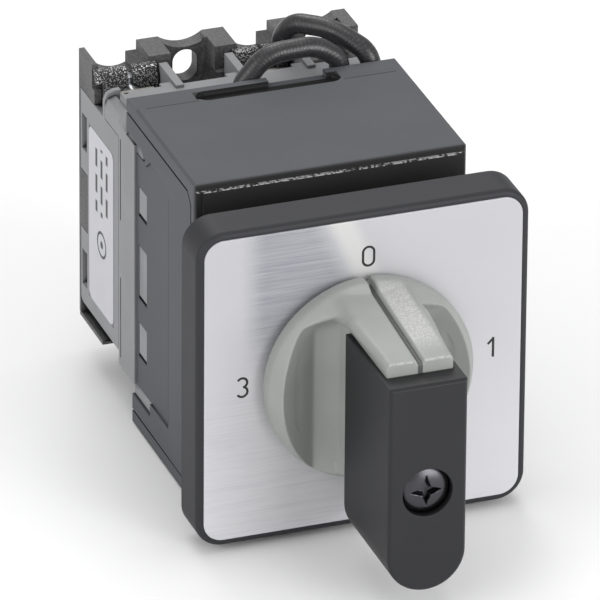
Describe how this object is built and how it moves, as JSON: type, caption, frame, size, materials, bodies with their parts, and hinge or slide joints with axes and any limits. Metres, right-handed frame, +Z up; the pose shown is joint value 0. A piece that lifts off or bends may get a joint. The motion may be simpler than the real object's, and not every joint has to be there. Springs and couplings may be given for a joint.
{
  "type": "rotary cam switch",
  "caption": "Rotary cam switch for panel mounting: square dial plate, wing knob with a black lever, black hood behind the panel, grey contact decks with jumper wires.",
  "frame": {"origin": "on the shaft's axis, on the panel's front face (back face of the seal)", "axes": "+X to the right seen from the front, +Y back through the panel, +Z up"},
  "size_m": [0.045, 0.083, 0.0504],
  "materials": {
    "black_housing": "fine satin, moulded",
    "black_frame": "fine satin, moulded",
    "black_lever": "fine satin, moulded",
    "grey_knob": "satin, moulded",
    "grey_deck": "satin, moulded",
    "dial_plate": "brushed",
    "white_label": "printed film",
    "rubber_seal": "matte",
    "dark_steel": "blackened",
    "steel": "zinc plated",
    "contact_metal": "silvered",
    "wire_black": "smooth insulation",
    "cam_plastic": "satin, moulded"
  },
  "bodies": {
    "housing": {"front_frame": "black_frame", "dial_plate": "dial_plate", "panel_seal": "rubber_seal", "latch_spring_top": "steel", "latch_spring_bottom": "steel", "latch_housing": "black_housing", "hood": "black_housing", "front_deck": "grey_deck", "rear_deck": "grey_deck", "terminal_block": "black_housing", "contact_front_near": "contact_metal", "contact_front_far": "contact_metal", "contact_rear_near": "contact_metal", "contact_rear_far": "contact_metal", "clamp_front_near": "steel", "clamp_front_far": "steel", "clamp_rear_near": "steel", "clamp_rear_far": "steel", "contact_spring_front": "steel", "contact_spring_rear": "steel", "terminal_screws": "steel", "tie_screws": "steel", "type_label": "white_label", "jumper_front": "wire_black", "jumper_rear": "wire_black"},
    "handle": {"knob": "grey_knob", "lever": "black_lever", "lever_screw": "dark_steel", "shaft": "steel", "retaining_ring": "steel", "star_wheel": "cam_plastic", "cam_front": "cam_plastic", "cam_rear": "cam_plastic"},
    "latch_pin_above": {"latch_pin_top": "cam_plastic"},
    "latch_pin_below": {"latch_pin_bottom": "cam_plastic"},
    "contact_slider_front": {"slider_front": "cam_plastic", "bridge_front": "contact_metal"},
    "contact_slider_rear": {"slider_rear": "cam_plastic", "bridge_rear": "contact_metal"}
  },
  "joints": [
    {"name": "handle_turn", "type": "hinge", "parent": "housing", "child": "handle", "pos_m": [0, 0, 0], "axis": [0, -1, 0], "continuous": true},
    {"name": "latch_pin_above_slide", "type": "slide", "parent": "housing", "child": "latch_pin_above", "axis": [0, 0, 1], "range_m": [0, 0.0012], "stiffness_N_per_m": 1500, "springref_m": -0.002, "deforming": ["latch_spring_top"]},
    {"name": "latch_pin_below_slide", "type": "slide", "parent": "housing", "child": "latch_pin_below", "axis": [0, 0, -1], "range_m": [0, 0.0012], "stiffness_N_per_m": 1500, "springref_m": -0.002, "deforming": ["latch_spring_bottom"]},
    {"name": "contact_front_slide", "type": "slide", "parent": "housing", "child": "contact_slider_front", "axis": [0, 0, 1], "range_m": [0, 0.0014], "stiffness_N_per_m": 800, "springref_m": -0.001, "deforming": ["contact_spring_front"]},
    {"name": "contact_rear_slide", "type": "slide", "parent": "housing", "child": "contact_slider_rear", "axis": [0, 0, 1], "range_m": [0, 0.0014], "stiffness_N_per_m": 800, "springref_m": -0.001, "deforming": ["contact_spring_rear"]}
  ]
}
